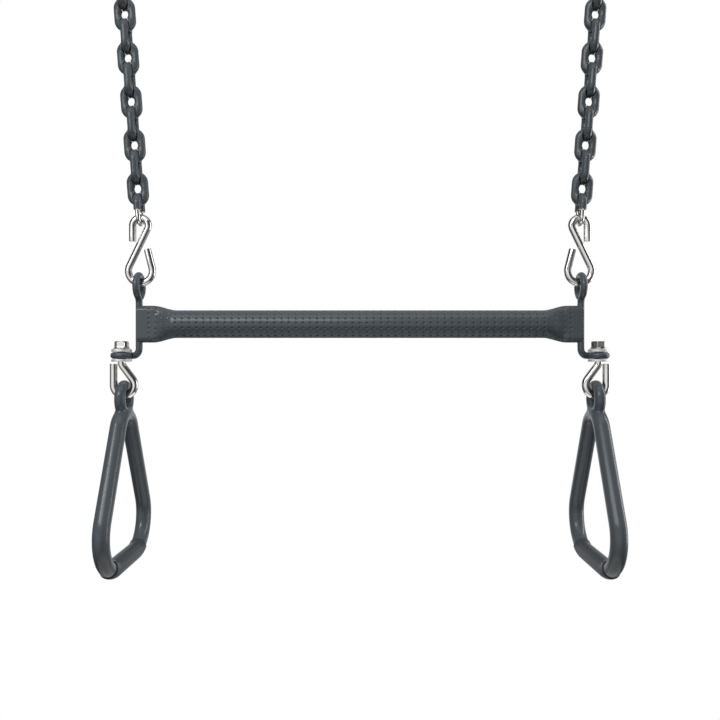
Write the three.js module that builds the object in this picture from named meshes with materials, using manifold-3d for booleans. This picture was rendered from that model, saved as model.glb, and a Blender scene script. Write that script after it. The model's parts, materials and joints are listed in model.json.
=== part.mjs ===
// Trapeze bar on two chains, with a swivelling handle at each end of the bar.
// Millimetres, +Z up, +X to the right. The origin lies midway between the two hanging points,
// where the beam's hardware bears inside the loops of the top hooks.

import * as THREE from 'three';
import { mergeVertices } from 'three/addons/utils/BufferGeometryUtils.js';
import Module from 'manifold-3d';

const wasm = await Module();
wasm.setup();

const degrees = Math.PI / 180;

// How far the flat facets of a bore stand inside its circle
function facetSag(radius, stepAngle) {
  return radius * (1 - Math.cos(stepAngle / 2));
}

// Fits
const seatGap = 0.3; // between a loop and what hangs in it, and between stacked pieces
const cutOverrun = 2; // how far a cutting solid runs past what it cuts

// Bar tube with flattened ends
const rodSpan = 455; // between the axes of the two hanger rods
const tubeDiameter = 28.6;
const tubeWall = 2.1;
const tubeOverhang = 1.5; // tube end past the rod's axis
const flatLength = 16; // flattened stretch at each end
const flareLength = 25; // from the flattened stretch to the full round
const mouthGap = 0.35; // between the rod and each wall of the flattened mouth
const tubeSides = 24;
const flareSteps = 5;

// Hanger rods, each bent from one coated wire
const rodDiameter = 7;
const upperEyeBore = 15.6;
const upperEyeRise = 38.8; // from the bar's axis up to the centre of the upper eye
const eyeNeckRadius = 8; // reverse bend that centres the upper eye on the rod
const upperEyeTurn = 322 * degrees;
const upperEyeSteps = 12;
const lowerEyeBore = 8.6;
const lowerEyeDrop = 32.3; // from the bar's axis down to the plane of the lower eye
const lowerEyeOffset = 17.9; // from the rod's axis out to the swivel's axis
const lowerEyeTurn = 296 * degrees;
const lowerEyeSteps = 11;
const rodBendRadius = 7.5;
const rodSides = 10;

// S-hooks of bare steel wire
const hookDiameter = 7.5;
const smallLoopRadius = 8;
const largeLoopRadius = 12.3;
const loopSpacing = 46.75; // between the centres of the two loops
const smallLegLength = 16.4;
const largeLegLength = 20.2;
const largeLegLean = 14 * degrees;
const hookInset = 1.4; // S-hook's centre line inside the rod's axis
const hookSides = 10;

// Chain of straight links, dipped in a thick coat
const linkWire = 4.8;
const linkCoat = 1.37; // thickness of the coat
const linkPitch = 22.5;
const linkWidth = 14.4; // between the axes of a link's two legs
const linkCount = 11; // on each side
const chainSplay = 4.27 * degrees; // the chains lean outwards on the way up
const linkFlex = 20 * degrees; // how far each link may turn in the next one
const linkSides = 8;
const crownSteps = 6;

// Swivel hooks with their nuts and washers
const boltDiameter = 8;
const hookBendRadius = 8.2;
const hookLean = 37 * degrees;
const hookSlant = 15.6; // straight stretch between the bend and the loop
const hookLoopRadius = 10.7;
const hookTipRise = 22; // free leg above the centre of the loop
const boltShort = 0.4; // end of the bolt below the top of the nut
const boltSides = 12;
const nutHeight = 8;
const nutAcrossFlats = 13;
const nutFlangeDiameter = 17.4;
const nutFlangeEdge = 1.1;
const nutFlangeRise = 1.5;
const nutChamfer = 1.1;
const washerDiameter = 20.6;
const washerThickness = 2.6;
const roundSides = 20;

// Handles
const handleDiameter = 16.3;
const handleHeight = 149.3; // from the frame's top centre line to its bottom one
const apexRadius = 21;
const cornerRadius = 35.7;
const handleStraight = 63.6; // straight stretch of the bottom bar
const gripDiameter = 18.4;
const gripWrap = 25 * degrees; // how far the grip runs up each corner bend
const eyeWire = 11.5;
const eyeBore = 15.7;
const eyeSink = 16.3; // frame's top centre line below the centre of its eye
const handleSides = 12;
const eyeSides = 10;
const eyeSteps = 14;

// Sizes worked out from the ones above
const rodX = rodSpan / 2;
const rodRadius = rodDiameter / 2;
const hookRadius = hookDiameter / 2;
const boltRadius = boltDiameter / 2;
const steelRadius = linkWire / 2;
const coatRadius = steelRadius + linkCoat;
const crownRadius = linkWidth / 2;
const linkCrossing = linkWire + seatGap; // between the crossed wires of two neighbours
const linkLength = linkPitch + linkCrossing; // between the axes of a link's two crowns
const hookToLink = hookRadius + seatGap + steelRadius;
const upperEyeRadius = (upperEyeBore + rodDiameter) / 2;
const lowerEyeRadius = (lowerEyeBore + rodDiameter) / 2;
const eyeRadius = (eyeBore + eyeWire) / 2;
const mouthHalf = rodRadius + mouthGap;
const flatThickness = 2 * (mouthHalf + tubeWall);
const flatHeight = flatThickness + (Math.PI / 2) * (tubeDiameter - flatThickness);
const tubeEndX = rodX + tubeOverhang;

// Places on the right-hand side, from the top down
const chainRun = (linkCount - 1) * linkPitch + linkLength;
const lowerHookX = rodX - hookInset;
const topHookX = lowerHookX + chainRun * Math.sin(chainSplay);
const topHookSmallLoopZ = hookRadius - largeLoopRadius - loopSpacing;
const chainTopZ = topHookSmallLoopZ - smallLoopRadius + hookToLink;
const chainFootZ = chainTopZ - chainRun * Math.cos(chainSplay);
const lowerHookSmallLoopZ = chainFootZ + hookToLink - smallLoopRadius;
const lowerHookPinZ = lowerHookSmallLoopZ - loopSpacing - largeLoopRadius;
const upperEyeSag = facetSag(upperEyeBore / 2, upperEyeTurn / upperEyeSteps);
const upperEyeSeat = hookRadius + seatGap + upperEyeSag;
const upperEyeZ = lowerHookPinZ + upperEyeSeat + rodRadius - upperEyeRadius;
const barZ = upperEyeZ - upperEyeRise;
const lowerEyeZ = barZ - lowerEyeDrop;
const swivelX = rodX + lowerEyeOffset;
const upperWasherZ = lowerEyeZ + rodRadius + seatGap;
const nutZ = upperWasherZ + washerThickness + seatGap;
const lowerWasherZ = lowerEyeZ - rodRadius - seatGap - washerThickness;
const boltTopZ = nutZ + nutHeight - boltShort;
const hookBendZ = lowerWasherZ - seatGap;
const hookLoopInset = hookBendRadius * (1 - Math.cos(hookLean))
  + hookSlant * Math.sin(hookLean) - hookLoopRadius * Math.cos(hookLean);
const hookLoopZ = hookBendZ - (hookBendRadius + hookLoopRadius) * Math.sin(hookLean)
  - hookSlant * Math.cos(hookLean);
const handleX = swivelX - hookLoopInset;
const handlePinZ = hookLoopZ - hookLoopRadius;
const handleEyeSeat = boltRadius + seatGap + facetSag(eyeBore / 2, (2 * Math.PI) / eyeSteps);
const handleEyeZ = handlePinZ + handleEyeSeat + eyeWire / 2 - eyeRadius;
const handleTopZ = handleEyeZ - eyeSink;

const coat = new THREE.MeshStandardMaterial({ color: 0x4b5258, roughness: 0.42, metalness: 0 });
const bareSteel = new THREE.MeshStandardMaterial({ color: 0xcfd0d0, roughness: 0.18, metalness: 1 });
const zinc = new THREE.MeshStandardMaterial({ color: 0xdcdcd8, roughness: 0.34, metalness: 0.9 });
const gripVinyl = new THREE.MeshStandardMaterial({ color: 0x484f55, roughness: 0.5, metalness: 0 });

// A wire's centre line, drawn as a pen draws it: straight runs, and bends of a given radius.
// A bend turns towards the side vector, or away from it where the angle is negative.
class WirePath {
  constructor(start, heading, side) {
    this.point = start.clone();
    this.heading = heading.clone().normalize();
    this.side = side.clone().normalize();
    this.across = side.clone().normalize();
    this.stations = [];
    this.mark();
  }

  mark() {
    const up = new THREE.Vector3().crossVectors(this.heading, this.across);
    this.stations.push({ centre: this.point.clone(), across: this.across.clone(), up });
  }

  straight(length) {
    this.point.addScaledVector(this.heading, length);
    this.mark();
    return this;
  }

  bend(radius, angle, steps) {
    const turn = Math.sign(angle);
    const axis = new THREE.Vector3().crossVectors(this.heading, this.side).normalize();
    const centre = this.point.clone().addScaledVector(this.side, turn * radius);
    const arm = this.point.clone().sub(centre);
    const step = angle / steps;
    for (let i = 0; i < steps; i += 1) {
      arm.applyAxisAngle(axis, step);
      this.heading.applyAxisAngle(axis, step);
      this.side.applyAxisAngle(axis, step);
      this.across.applyAxisAngle(axis, step);
      this.point.copy(centre).add(arm);
      this.mark();
    }
    return this;
  }

  // Turns the plane of the bends that follow about the wire's own direction
  roll(angle) {
    this.side.applyAxisAngle(this.heading, angle);
    return this;
  }
}

function geometryOf(points, triangles) {
  const geometry = new THREE.BufferGeometry();
  geometry.setAttribute('position', new THREE.Float32BufferAttribute(points.flat(), 3));
  geometry.setIndex(triangles.flat());
  geometry.computeVertexNormals();
  return geometry;
}

// One ring of points round a station; radiusAt gives the radius at an angle from the across vector
function ringPoints(station, sides, radiusAt) {
  return Array.from({ length: sides }, (_, i) => {
    const angle = (2 * Math.PI * i) / sides;
    const radius = radiusAt(angle);
    return station.centre.clone()
      .addScaledVector(station.across, radius * Math.cos(angle))
      .addScaledVector(station.up, radius * Math.sin(angle))
      .toArray();
  });
}

// Triangles between ring a and ring b of a list of rings, facing out when b lies further along
function bandBetween(a, b, sides) {
  const triangles = [];
  for (let i = 0; i < sides; i += 1) {
    const j = (i + 1) % sides;
    triangles.push([a * sides + i, a * sides + j, b * sides + j]);
    triangles.push([a * sides + i, b * sides + j, b * sides + i]);
  }
  return triangles;
}

function capOf(ring, sides, faceForward) {
  const triangles = [];
  for (let i = 1; i < sides - 1; i += 1) {
    const [p, q, r] = [ring * sides, ring * sides + i, ring * sides + i + 1];
    triangles.push(faceForward ? [p, q, r] : [p, r, q]);
  }
  return triangles;
}

function solidWire(stations, sides, radius) {
  const points = stations.flatMap((station) => ringPoints(station, sides, () => radius));
  const last = stations.length - 1;
  const triangles = [...capOf(0, sides, false), ...capOf(last, sides, true)];
  for (let i = 0; i < last; i += 1) triangles.push(...bandBetween(i, i + 1, sides));
  return geometryOf(points, triangles);
}

// rings is a list of rings of points, each joined to the next and the last to the first
function closedLoop(rings) {
  const sides = rings[0].length;
  const triangles = rings.flatMap((_, i) => bandBetween(i, (i + 1) % rings.length, sides));
  return geometryOf(rings.flat(), triangles);
}

// A tube with a bore, from the rings of its outer and inner skins
function hollowTube(outerRings, innerRings) {
  return closedLoop([...outerRings, ...innerRings.toReversed()]);
}

function toManifold(geometry) {
  const bare = geometry.clone();
  bare.deleteAttribute('normal');
  bare.deleteAttribute('uv');
  const merged = mergeVertices(bare);
  return new wasm.Manifold(new wasm.Mesh({
    numProp: 3,
    vertProperties: merged.attributes.position.array,
    triVerts: Uint32Array.from(merged.index.array),
  }));
}

function fromManifold(solid) {
  const { vertProperties, triVerts } = solid.getMesh();
  const geometry = new THREE.BufferGeometry();
  geometry.setAttribute('position', new THREE.Float32BufferAttribute(vertProperties, 3));
  geometry.setIndex(Array.from(triVerts));
  geometry.computeVertexNormals();
  return geometry;
}

function mirrored(geometry) {
  const copy = geometry.index ? geometry.clone() : mergeVertices(geometry.clone());
  copy.scale(-1, 1, 1);
  const index = copy.index.array;
  for (let i = 0; i < index.length; i += 3) [index[i], index[i + 1]] = [index[i + 1], index[i]];
  copy.computeVertexNormals();
  return copy;
}

function smoothStep(share) {
  return share * share * (3 - 2 * share);
}

// Bar tube
// The section is a slot shape of half height a and half thickness b, and a circle where they match.
function tubeSection(x, halfHeight, halfThickness) {
  const straightHalf = halfHeight - halfThickness;
  const halfStep = Math.PI / tubeSides;
  return Array.from({ length: tubeSides }, (_, i) => {
    const angle = 2 * halfStep * i + halfStep;
    const lift = Math.sign(Math.sin(angle)) * straightHalf;
    const y = (halfThickness * Math.cos(angle)) / Math.cos(halfStep);
    return [x, y, lift + halfThickness * Math.sin(angle)];
  });
}

function barTube() {
  const places = [{ x: tubeEndX, flat: 1 }];
  for (let i = 0; i <= flareSteps; i += 1) {
    const share = i / flareSteps;
    places.push({ x: tubeEndX - flatLength - share * flareLength, flat: 1 - smoothStep(share) });
  }
  const leftPlaces = places.map(({ x, flat }) => ({ x: -x, flat }));
  const allPlaces = [...leftPlaces, ...places.toReversed()];
  const skin = (inset) => allPlaces.map(({ x, flat }) => {
    const halfHeight = THREE.MathUtils.lerp(tubeDiameter, flatHeight, flat) / 2 - inset;
    const halfThickness = THREE.MathUtils.lerp(tubeDiameter, flatThickness, flat) / 2 - inset;
    return tubeSection(x, halfHeight, halfThickness);
  });
  let tube = toManifold(hollowTube(skin(0), skin(tubeWall)));

  // Each mouth is notched above and below, so that the rod passes up through it
  const notchHalf = rodRadius + seatGap;
  const notch = new THREE.Shape();
  notch.absarc(rodX, 0, notchHalf, Math.PI / 2, 1.5 * Math.PI);
  notch.lineTo(tubeEndX + cutOverrun, -notchHalf);
  notch.lineTo(tubeEndX + cutOverrun, notchHalf);
  const depth = flatHeight + 2 * cutOverrun;
  const cutter = new THREE.ExtrudeGeometry(notch, { depth, bevelEnabled: false, curveSegments: 8 });
  cutter.translate(0, 0, -depth / 2);
  tube = tube.subtract(toManifold(cutter)).subtract(toManifold(mirrored(cutter)));
  return fromManifold(tube);
}

// Hanger rod, right-hand side, with the bar's axis at z = 0
function hangerRod() {
  const neckTurn = Math.acos(eyeNeckRadius / (eyeNeckRadius + upperEyeRadius));
  const neckRise = Math.sqrt(upperEyeRadius ** 2 + 2 * eyeNeckRadius * upperEyeRadius);
  const up = new WirePath(
    new THREE.Vector3(rodX, 0, 0),
    new THREE.Vector3(0, 0, 1),
    new THREE.Vector3(0, -1, 0),
  );
  up.straight(upperEyeRise - neckRise);
  up.bend(eyeNeckRadius, neckTurn, 3);
  up.bend(upperEyeRadius, -upperEyeTurn, upperEyeSteps);

  // The lower end bends out and a little back, so that it meets its eye at a tangent
  const swing = Math.asin(lowerEyeRadius / lowerEyeOffset);
  const reach = Math.sqrt(lowerEyeOffset ** 2 - lowerEyeRadius ** 2);
  const down = new WirePath(
    new THREE.Vector3(rodX, 0, 0),
    new THREE.Vector3(0, 0, -1),
    new THREE.Vector3(Math.cos(swing), Math.sin(swing), 0),
  );
  down.straight(lowerEyeDrop - rodBendRadius);
  down.bend(rodBendRadius, Math.PI / 2, 4);
  down.straight(reach - rodBendRadius);
  down.roll(Math.PI / 2);
  down.bend(lowerEyeRadius, lowerEyeTurn, lowerEyeSteps);

  // The whole wire from its upper end down; both halves hold the station at the bar's axis
  const stations = [...up.stations.toReversed().map(reversedStation), ...down.stations.slice(1)];
  return solidWire(realigned(stations, new THREE.Vector3(0, -1, 0)), rodSides, rodRadius);
}

function reversedStation({ centre, across, up }) {
  return { centre, across, up: up.clone().negate() };
}

// Carries one section frame along all stations without a twist, from the given first direction
function realigned(stations, firstAcross) {
  let current = firstAcross;
  return stations.map(({ centre, across, up }) => {
    const heading = new THREE.Vector3().crossVectors(across, up);
    current = current.clone().addScaledVector(heading, -current.dot(heading)).normalize();
    return { centre, across: current, up: new THREE.Vector3().crossVectors(heading, current) };
  });
}

// S-hook with its small loop up and centred on the origin, its small leg on the +X side
function sHook() {
  const crossAngle = Math.asin((smallLoopRadius + largeLoopRadius) / loopSpacing);
  const slant = Math.sqrt(loopSpacing ** 2 - (smallLoopRadius + largeLoopRadius) ** 2);
  const path = new WirePath(
    new THREE.Vector3(smallLoopRadius, 0, -smallLegLength),
    new THREE.Vector3(0, 0, 1),
    new THREE.Vector3(-1, 0, 0),
  );
  path.straight(smallLegLength);
  path.bend(smallLoopRadius, Math.PI + crossAngle, 9);
  path.straight(slant);
  path.bend(largeLoopRadius, -(Math.PI + crossAngle + largeLegLean), 11);
  path.straight(largeLegLength);
  return solidWire(path.stations, hookSides, hookRadius);
}

// Radius of a link's section at its crown, by the angle from its inner side. The neighbour's wire
// rolls on the bare inner side, and the coat fills what room is left beside it.
function crownRadiusAt(angleFromInside) {
  const reach = Math.max(0, angleFromInside - linkFlex);
  const innerRadius = crownRadius - steelRadius;
  const offset = crownRadius - linkCrossing;
  const room = Math.sqrt(innerRadius ** 2 - (offset * Math.sin(reach)) ** 2)
    - offset * Math.cos(reach) - seatGap;
  return Math.min(coatRadius, Math.max(steelRadius, room));
}

// Chain link in the XZ plane, centred on the origin, its length along Z
function linkRings(coatedTop, coatedFoot) {
  const rings = [];
  const halfStraight = linkLength / 2 - crownRadius;
  const ring = (x, z, outX, outZ, radiusAt) => {
    const station = {
      centre: new THREE.Vector3(x, 0, z),
      across: new THREE.Vector3(outX, 0, outZ),
      up: new THREE.Vector3(0, -1, 0),
    };
    rings.push(ringPoints(station, linkSides, radiusAt));
  };
  const fromInside = (angle) => Math.abs(Math.PI - angle);
  const half = (end, coated) => {
    for (let i = 0; i <= crownSteps; i += 1) {
      const angle = (Math.PI * i) / crownSteps;
      const outX = -end * Math.cos(angle);
      const outZ = end * Math.sin(angle);
      const atLeg = i === 0 || i === crownSteps;
      const coatedAt = (a) => (atLeg ? coatRadius : crownRadiusAt(fromInside(a)));
      ring(
        crownRadius * outX,
        end * halfStraight + crownRadius * outZ,
        outX,
        outZ,
        coated ? coatedAt : () => steelRadius,
      );
    }
  };
  const coatEdge = (x, before, after) => {
    ring(x, 0, Math.sign(x), 0, () => (before ? coatRadius : steelRadius));
    ring(x, 0, Math.sign(x), 0, () => (after ? coatRadius : steelRadius));
  };
  half(1, coatedTop);
  if (coatedTop !== coatedFoot) coatEdge(crownRadius, coatedTop, coatedFoot);
  half(-1, coatedFoot);
  if (coatedTop !== coatedFoot) coatEdge(-crownRadius, coatedFoot, coatedTop);
  return rings;
}

// Swivel hook, right-hand side, with the swivel's axis at x = 0 and its real heights
function swivelHook() {
  const path = new WirePath(
    new THREE.Vector3(0, 0, boltTopZ),
    new THREE.Vector3(0, 0, -1),
    new THREE.Vector3(-1, 0, 0),
  );
  path.straight(boltTopZ - hookBendZ);
  path.bend(hookBendRadius, hookLean, 3);
  path.straight(hookSlant);
  path.bend(hookLoopRadius, -(Math.PI + hookLean), 11);
  path.straight(hookTipRise);
  return solidWire(path.stations, boltSides, boltRadius);
}

function flangeNut() {
  const bore = boltRadius + seatGap;
  const corner = nutAcrossFlats / 2 / Math.cos(Math.PI / 6);
  const flange = new THREE.LatheGeometry([
    new THREE.Vector2(bore, 0),
    new THREE.Vector2(nutFlangeDiameter / 2, 0),
    new THREE.Vector2(nutFlangeDiameter / 2, nutFlangeEdge),
    new THREE.Vector2(corner, nutFlangeEdge + nutFlangeRise),
    new THREE.Vector2(bore, nutFlangeEdge + nutFlangeRise),
    new THREE.Vector2(bore, 0),
  ], roundSides).rotateX(Math.PI / 2);
  const hexagon = new THREE.Shape(Array.from({ length: 6 }, (_, i) => {
    const angle = (Math.PI / 3) * i;
    return new THREE.Vector2(corner * Math.cos(angle), corner * Math.sin(angle));
  }));
  hexagon.holes.push(new THREE.Path().absarc(0, 0, bore, 0, 2 * Math.PI, true));
  const head = new THREE.ExtrudeGeometry(hexagon, {
    depth: nutHeight - nutFlangeEdge,
    bevelEnabled: false,
    curveSegments: roundSides / 2,
  }).translate(0, 0, nutFlangeEdge);
  const flatRadius = nutAcrossFlats / 2;
  const crown = new THREE.LatheGeometry([
    new THREE.Vector2(0, 0),
    new THREE.Vector2(corner + nutChamfer, 0),
    new THREE.Vector2(corner + nutChamfer, nutHeight - 2 * nutChamfer),
    new THREE.Vector2(flatRadius, nutHeight),
    new THREE.Vector2(0, nutHeight),
  ], roundSides).rotateX(Math.PI / 2);
  const chamferedHead = toManifold(head).intersect(toManifold(crown));
  return fromManifold(toManifold(flange).add(chamferedHead));
}

function washer() {
  const bore = boltRadius + seatGap;
  return new THREE.LatheGeometry([
    new THREE.Vector2(bore, 0),
    new THREE.Vector2(washerDiameter / 2, 0),
    new THREE.Vector2(washerDiameter / 2, washerThickness),
    new THREE.Vector2(bore, washerThickness),
    new THREE.Vector2(bore, 0),
  ], roundSides).rotateX(Math.PI / 2);
}

// Half of the handle's centre line, from the middle of its bottom bar up to its apex.
// gripEnd is the number of stations that the grip covers.
function handleStations() {
  const cornerRise = handleHeight - cornerRadius - apexRadius;
  const spacing = Math.hypot(handleStraight / 2, cornerRise);
  const sideLean = Math.atan2(handleStraight / 2, cornerRise)
    + Math.asin((cornerRadius - apexRadius) / spacing);
  const side = Math.sqrt(spacing ** 2 - (cornerRadius - apexRadius) ** 2);
  const path = new WirePath(
    new THREE.Vector3(0, 0, -handleHeight),
    new THREE.Vector3(0, 1, 0),
    new THREE.Vector3(0, 0, 1),
  );
  path.straight(handleStraight / 2);
  path.bend(cornerRadius, gripWrap, 2);
  const gripEnd = path.stations.length;
  path.bend(cornerRadius, Math.PI / 2 + sideLean - gripWrap, 6);
  path.straight(side);
  path.bend(apexRadius, Math.PI / 2 - sideLean, 3);
  return { stations: path.stations, gripEnd };
}

// The same stations on the other side of the handle's middle plane
function otherHalf(stations) {
  return stations.map(({ centre, across, up }) => ({
    centre: centre.clone().multiply(new THREE.Vector3(1, -1, 1)),
    across: across.clone().multiply(new THREE.Vector3(1, -1, 1)),
    up,
  }));
}

// Handle frame with the apex of its centre line at the origin, and its eye above
function handleFrame() {
  const { stations } = handleStations();
  const loop = [...stations, ...otherHalf(stations.slice(1, -1)).toReversed()];
  const rings = loop.map((station) => ringPoints(station, handleSides, () => handleDiameter / 2));
  const eye = new THREE.TorusGeometry(eyeRadius, eyeWire / 2, eyeSides, eyeSteps);
  eye.rotateY(Math.PI / 2).translate(0, 0, eyeSink);
  return fromManifold(toManifold(closedLoop(rings)).add(toManifold(eye)));
}

function handleGrip() {
  const { stations, gripEnd } = handleStations();
  const covered = stations.slice(0, gripEnd);
  const run = [...otherHalf(covered.slice(1)).toReversed(), ...covered];
  const skin = (radius) => run.map((station) => ringPoints(station, handleSides, () => radius));
  return hollowTube(skin(gripDiameter / 2), skin(handleDiameter / 2 + seatGap));
}

const trapeze = new THREE.Group();
trapeze.name = 'trapeze_bar';

function place(name, geometry, material, x, z) {
  const mesh = new THREE.Mesh(geometry, material);
  mesh.name = name;
  mesh.position.set(x, 0, z);
  trapeze.add(mesh);
  return mesh;
}

place('bar_tube', barTube(), coat, 0, barZ);

// Each shape is made for the right-hand side and mirrored for the left
const shapes = {
  rod: hangerRod(),
  hook: sHook(),
  swivel: swivelHook(),
  nut: flangeNut(),
  washer: washer(),
  frame: handleFrame(),
  grip: handleGrip(),
  link: closedLoop(linkRings(true, true)),
  footLink: closedLoop(linkRings(true, false)),
  topLink: closedLoop(linkRings(false, true)),
};

function addChain(side, sideName) {
  const footX = lowerHookX;
  for (let i = 1; i <= linkCount; i += 1) {
    const run = linkLength / 2 + (i - 1) * linkPitch;
    let shape = shapes.link;
    if (i === 1) shape = shapes.footLink;
    if (i === linkCount) shape = shapes.topLink;
    const number = String(i).padStart(2, '0');
    const x = side * (footX + run * Math.sin(chainSplay));
    const z = chainFootZ + run * Math.cos(chainSplay);
    const link = place(`chain_link_${sideName}_${number}`, shape, coat, x, z);
    link.rotation.order = 'YZX';
    link.rotation.y = side * chainSplay;
    link.rotation.z = i % 2 === 1 ? Math.PI / 2 : 0;
  }
}

for (const [side, sideName] of [[-1, 'left'], [1, 'right']]) {
  const handed = (geometry) => (side > 0 ? geometry : mirrored(geometry));
  const topHook = place(
    `top_s_hook_${sideName}`,
    handed(shapes.hook),
    bareSteel,
    side * topHookX,
    topHookSmallLoopZ,
  );
  topHook.rotation.y = Math.PI;
  addChain(side, sideName);
  place(`lower_s_hook_${sideName}`, handed(shapes.hook), bareSteel, side * lowerHookX,
    lowerHookSmallLoopZ);
  place(`hanger_rod_${sideName}`, handed(shapes.rod), coat, 0, barZ);
  place(`swivel_hook_${sideName}`, handed(shapes.swivel), bareSteel, side * swivelX, 0);
  place(`flange_nut_${sideName}`, shapes.nut, bareSteel, side * swivelX, nutZ);
  place(`upper_washer_${sideName}`, shapes.washer, zinc, side * swivelX, upperWasherZ);
  place(`lower_washer_${sideName}`, shapes.washer, zinc, side * swivelX, lowerWasherZ);
  place(`handle_frame_${sideName}`, shapes.frame, coat, side * handleX, handleTopZ);
  place(`handle_grip_${sideName}`, shapes.grip, gripVinyl, side * handleX, handleTopZ);
}

export default trapeze;
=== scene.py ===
import json
import math

import bpy
import numpy as np
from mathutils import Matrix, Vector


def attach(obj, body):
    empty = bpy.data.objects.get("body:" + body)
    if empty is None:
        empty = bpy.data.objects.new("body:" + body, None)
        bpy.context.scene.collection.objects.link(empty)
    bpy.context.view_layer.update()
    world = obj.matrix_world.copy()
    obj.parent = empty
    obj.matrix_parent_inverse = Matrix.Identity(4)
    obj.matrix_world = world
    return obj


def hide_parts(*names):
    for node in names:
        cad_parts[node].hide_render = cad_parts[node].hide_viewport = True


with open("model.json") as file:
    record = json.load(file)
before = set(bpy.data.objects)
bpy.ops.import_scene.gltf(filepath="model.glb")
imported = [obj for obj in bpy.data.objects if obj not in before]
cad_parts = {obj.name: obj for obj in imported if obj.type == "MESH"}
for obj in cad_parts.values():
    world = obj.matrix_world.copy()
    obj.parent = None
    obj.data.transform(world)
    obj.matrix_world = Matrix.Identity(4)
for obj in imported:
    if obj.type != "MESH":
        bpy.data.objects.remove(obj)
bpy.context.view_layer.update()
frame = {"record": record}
record = frame["record"]

MM = 0.001  # in metres

# Sizes in millimetres, as in the solid model

SEAT_GAP = 0.3  # between a loop and what hangs in it, and between stacked pieces

ROD_X = 227.5
ROD_RADIUS = 3.5
UPPER_EYE_BORE = 15.6
UPPER_EYE_TURN = math.radians(322)
UPPER_EYE_RISE = 38.8
UPPER_EYE_STEPS = 12  # facets of the solid model's eye, whose flats set the seat in it
EYE_NECK_RADIUS = 8.0
LOWER_EYE_BORE = 8.6
LOWER_EYE_TURN = math.radians(296)
LOWER_EYE_DROP = 32.3
LOWER_EYE_OFFSET = 17.9
ROD_BEND_RADIUS = 7.5
UPPER_EYE_RADIUS = (UPPER_EYE_BORE + 2 * ROD_RADIUS) / 2
LOWER_EYE_RADIUS = (LOWER_EYE_BORE + 2 * ROD_RADIUS) / 2

TUBE_DIAMETER = 28.6
TUBE_WALL = 2.1
TUBE_OVERHANG = 1.5  # tube end past the rod's axis
TUBE_END = ROD_X + TUBE_OVERHANG
FLAT_LENGTH = 16.0
FLARE_LENGTH = 25.0
MOUTH_GAP = 0.35  # between the rod and each wall of the flattened mouth
FLAT_THICKNESS = 2 * (ROD_RADIUS + MOUTH_GAP + TUBE_WALL)
FLAT_HEIGHT = FLAT_THICKNESS + (math.pi / 2) * (TUBE_DIAMETER - FLAT_THICKNESS)

HOOK_RADIUS = 3.75
HOOK_INSET = 1.4
SMALL_LOOP = 8.0
LARGE_LOOP = 12.3
LOOP_SPACING = 46.75
SMALL_LEG = 16.4
LARGE_LEG = 20.2
LARGE_LEG_LEAN = math.radians(14)

LINK_WIRE = 2.4
LINK_COAT = 3.77
LINK_PITCH = 22.5
LINK_COUNT = 11
LINK_FLEX = 20  # degrees that a link may turn in the next one
CROWN_RADIUS = 7.2
CHAIN_SPLAY = math.radians(4.27)

BOLT_RADIUS = 4.0
BOLT_SHORT = 0.4  # end of the bolt below the top of the nut
SWIVEL_BEND = 8.2
SWIVEL_LEAN = math.radians(37)
SWIVEL_SLANT = 15.6
SWIVEL_LOOP = 10.7
SWIVEL_TIP = 22.0
NUT_HEIGHT = 8.0
NUT_FLAT = 6.5
NUT_FLANGE = 8.7
WASHER_RADIUS = 10.3
WASHER_THICKNESS = 2.6

FRAME_RADIUS = 8.15
FRAME_HEIGHT = 149.3
APEX_RADIUS = 21.0
CORNER_RADIUS = 35.7
BASE_HALF = 31.8
GRIP_RADIUS = 9.2
GRIP_WRAP = math.radians(25)
EYE_WIRE = 5.75
EYE_BORE = 15.7
EYE_STEPS = 14  # facets of the solid model's eye, whose flats set the seat in it
EYE_RADIUS = 13.6
EYE_SINK = 16.3

# Places that follow from the sizes

LINK_CROSSING = 2 * LINK_WIRE + SEAT_GAP
LINK_LENGTH = LINK_PITCH + LINK_CROSSING
HOOK_TO_LINK = HOOK_RADIUS + SEAT_GAP + LINK_WIRE
CHAIN_RUN = (LINK_COUNT - 1) * LINK_PITCH + LINK_LENGTH
LOWER_HOOK_X = ROD_X - HOOK_INSET
TOP_HOOK_X = LOWER_HOOK_X + CHAIN_RUN * math.sin(CHAIN_SPLAY)
TOP_HOOK_Z = HOOK_RADIUS - LARGE_LOOP - LOOP_SPACING
CHAIN_TOP_Z = TOP_HOOK_Z - SMALL_LOOP + HOOK_TO_LINK
CHAIN_FOOT_Z = CHAIN_TOP_Z - CHAIN_RUN * math.cos(CHAIN_SPLAY)
LOWER_HOOK_Z = CHAIN_FOOT_Z + HOOK_TO_LINK - SMALL_LOOP
LOWER_PIN_Z = LOWER_HOOK_Z - LOOP_SPACING - LARGE_LOOP
EYE_SAG = UPPER_EYE_BORE / 2 * (1 - math.cos(UPPER_EYE_TURN / (2 * UPPER_EYE_STEPS)))
UPPER_EYE_Z = LOWER_PIN_Z + HOOK_RADIUS + SEAT_GAP + EYE_SAG + ROD_RADIUS - UPPER_EYE_RADIUS
BAR_Z = UPPER_EYE_Z - UPPER_EYE_RISE
LOWER_EYE_Z = BAR_Z - LOWER_EYE_DROP
SWIVEL_X = ROD_X + LOWER_EYE_OFFSET
UPPER_WASHER_Z = LOWER_EYE_Z + ROD_RADIUS + SEAT_GAP
NUT_Z = UPPER_WASHER_Z + WASHER_THICKNESS + SEAT_GAP
LOWER_WASHER_Z = LOWER_EYE_Z - ROD_RADIUS - SEAT_GAP - WASHER_THICKNESS
BOLT_TOP_Z = NUT_Z + NUT_HEIGHT - BOLT_SHORT
HOOK_BEND_Z = LOWER_WASHER_Z - SEAT_GAP
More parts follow.
